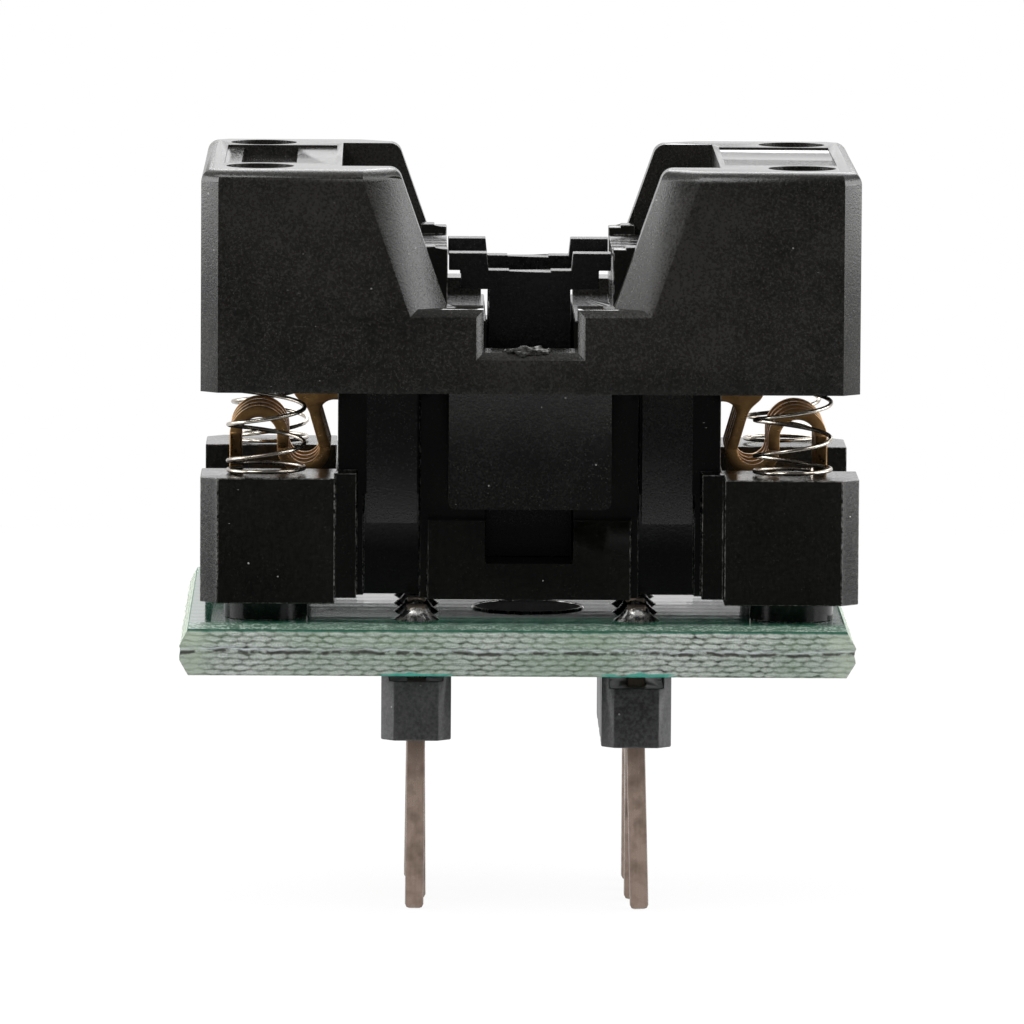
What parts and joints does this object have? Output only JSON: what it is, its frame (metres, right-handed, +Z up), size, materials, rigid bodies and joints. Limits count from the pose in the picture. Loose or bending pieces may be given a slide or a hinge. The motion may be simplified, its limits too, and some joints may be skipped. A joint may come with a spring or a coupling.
{
  "type": "press-down chip test socket on a pin adapter board",
  "caption": "Open-top press-down socket for a small gull-wing chip on a square board with two rows of header pins; pressing the sprung cover opens the contacts.",
  "frame": {"origin": "under the middle of the board, level with the tips of the header pins", "axes": "+X across the two pin rows to the right, +Y from the front to the back along the rows, +Z up through the open top"},
  "size_m": [0.0234, 0.0202, 0.0258],
  "materials": {
    "board_laminate": "green mask on glass laminate with raw snapped edges",
    "cover_plastic": "fine-grained black",
    "base_plastic": "smooth black, dusty",
    "header_plastic": "dull black",
    "pin_tin": "dull tin plate",
    "solder": "bright solder",
    "spring_steel": "drawn wire",
    "contact_bronze": "stamped copper alloy"
  },
  "bodies": {
    "board": {"circuit_board": "board_laminate", "left_header_body": "header_plastic", "right_header_body": "header_plastic", "left_header_pin_1": "pin_tin", "left_header_pin_2": "pin_tin", "left_header_pin_3": "pin_tin", "left_header_pin_4": "pin_tin", "right_header_pin_1": "pin_tin", "right_header_pin_2": "pin_tin", "right_header_pin_3": "pin_tin", "right_header_pin_4": "pin_tin", "pin_solder_joints": "solder", "tail_solder_joints": "solder", "socket_base": "base_plastic", "chip_nest": "base_plastic", "left_front_spring": "spring_steel", "left_rear_spring": "spring_steel", "right_front_spring": "spring_steel", "right_rear_spring": "spring_steel", "left_contact_1_root": "contact_bronze", "left_contact_2_root": "contact_bronze", "left_contact_3_root": "contact_bronze", "left_contact_4_root": "contact_bronze", "right_contact_1_root": "contact_bronze", "right_contact_2_root": "contact_bronze", "right_contact_3_root": "contact_bronze", "right_contact_4_root": "contact_bronze"},
    "cover": {"floating_cover": "cover_plastic"},
    "left_arms": {"left_contact_1_arm": "contact_bronze", "left_contact_2_arm": "contact_bronze", "left_contact_3_arm": "contact_bronze", "left_contact_4_arm": "contact_bronze"},
    "right_arms": {"right_contact_1_arm": "contact_bronze", "right_contact_2_arm": "contact_bronze", "right_contact_3_arm": "contact_bronze", "right_contact_4_arm": "contact_bronze"}
  },
  "joints": [
    {"name": "cover_press", "type": "slide", "parent": "board", "child": "cover", "axis": [0, 0, -1], "range_m": [0, 0.0023], "stiffness_N_per_m": 600, "springref_m": -0.0008, "deforming": ["left_front_spring", "left_rear_spring", "right_front_spring", "right_rear_spring"]},
    {"name": "left_arms_swing", "type": "hinge", "parent": "board", "child": "left_arms", "pos_m": [-0.00743, 0, 0.01488], "axis": [0, -1, 0], "range_deg": [0, 12.1]},
    {"name": "right_arms_swing", "type": "hinge", "parent": "board", "child": "right_arms", "pos_m": [0.00827, 0, 0.01488], "axis": [0, 1, 0], "range_deg": [0, 12.1]}
  ],
  "couplings": [
    {"joint": "left_arms_swing", "follows": "cover_press", "rad_per_m": 91.061},
    {"joint": "right_arms_swing", "follows": "cover_press", "rad_per_m": 91.061}
  ]
}
